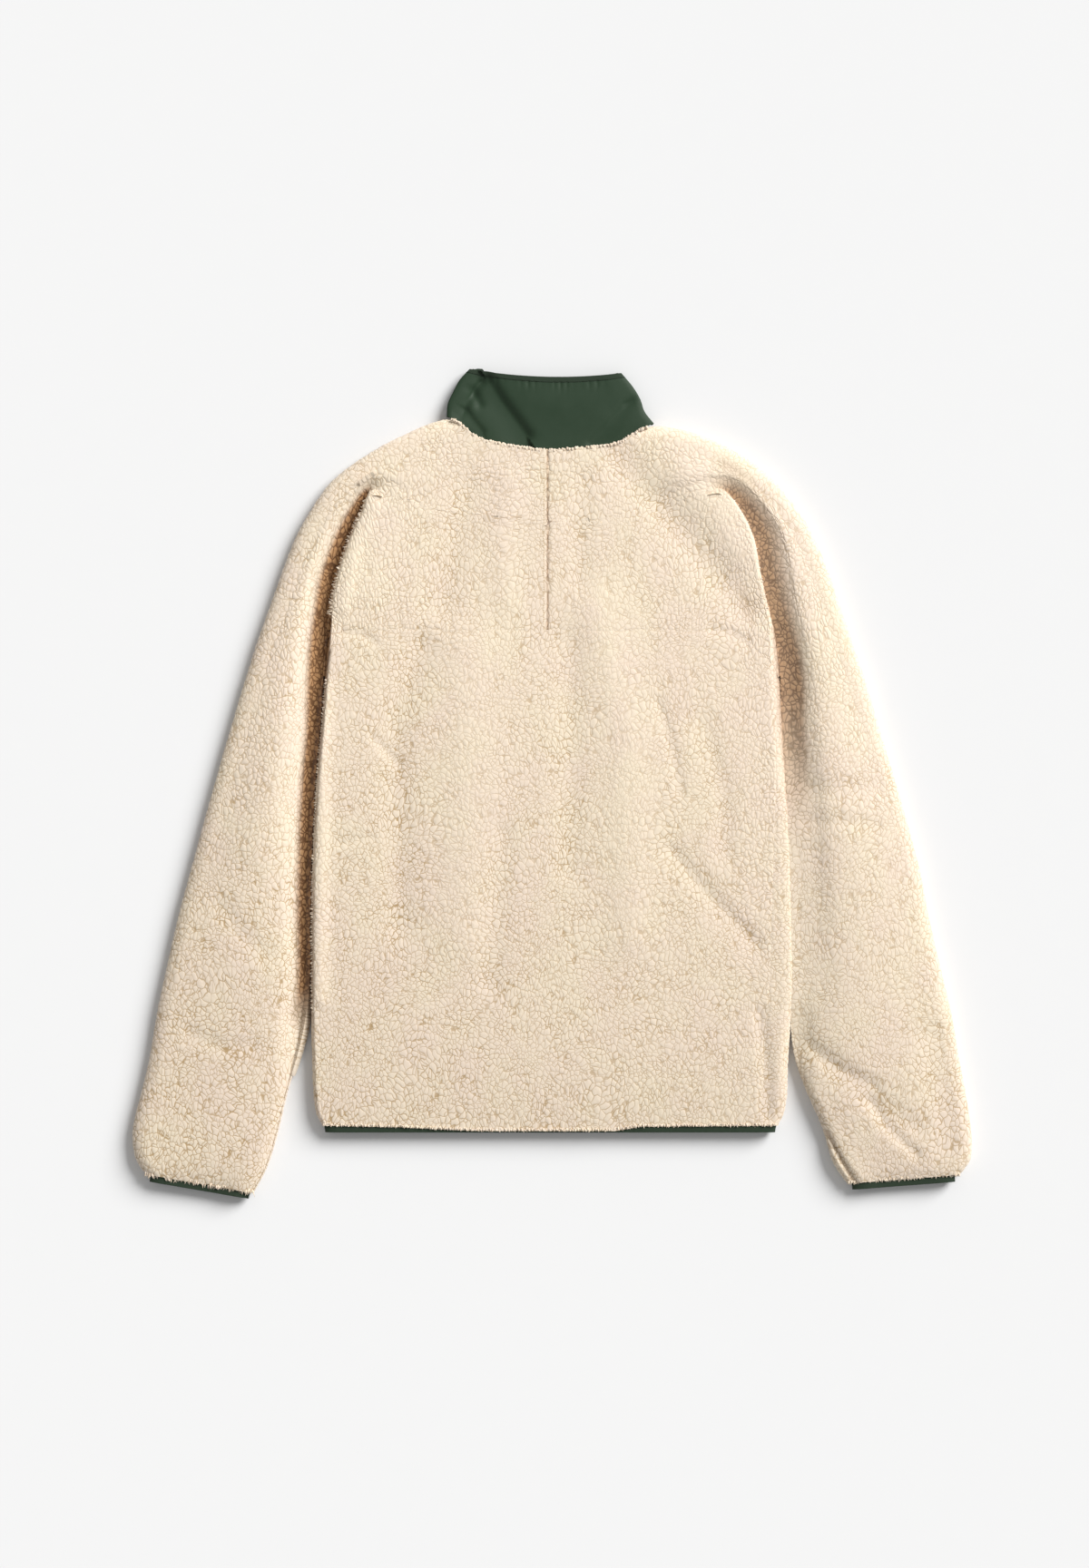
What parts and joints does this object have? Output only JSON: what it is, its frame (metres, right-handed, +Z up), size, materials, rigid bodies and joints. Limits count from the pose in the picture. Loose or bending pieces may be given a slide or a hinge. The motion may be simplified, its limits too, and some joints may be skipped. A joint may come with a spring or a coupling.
{
  "type": "fleece jacket laid flat",
  "caption": "Deep-pile fleece jacket with a stand-up nylon collar, bound hem and cuffs and a full front zip, lying flat on its front with the sleeves at its sides.",
  "frame": {"origin": "middle of the laid-out jacket's box, on the surface that it lies on", "axes": "+Z up, out of the back of the jacket; +Y from the hem to the collar; +X to the wearer's right"},
  "size_m": [0.8356, 0.8238, 0.0239],
  "materials": {
    "fleece": "deep nubbly pile",
    "nylon": "plain-woven nylon with a soft sheen",
    "binding": "folded nylon tape",
    "zip_tape": "woven zip tape",
    "zip_teeth": "moulded",
    "zip_metal": "dark, satin"
  },
  "bodies": {
    "jacket": {"back": "fleece", "sleeve_left": "fleece", "sleeve_right": "fleece", "front_left": "fleece", "front_right": "fleece", "collar": "nylon", "collar_binding": "binding", "hem_binding": "binding", "cuff_binding_left": "binding", "cuff_binding_right": "binding", "zip_tape_left": "zip_tape", "zip_tape_right": "zip_tape", "zip_chain": "zip_teeth", "zip_box": "zip_metal", "zip_slider": "zip_metal"},
    "pull_tab": {"pull_tab": "zip_metal"}
  },
  "joints": [
    {"name": "pull_tab_swing", "type": "hinge", "parent": "jacket", "child": "pull_tab", "pos_m": [0.00055, 0.35822, 0.00145], "axis": [1, 0, 0], "range_deg": [0, 165]}
  ]
}
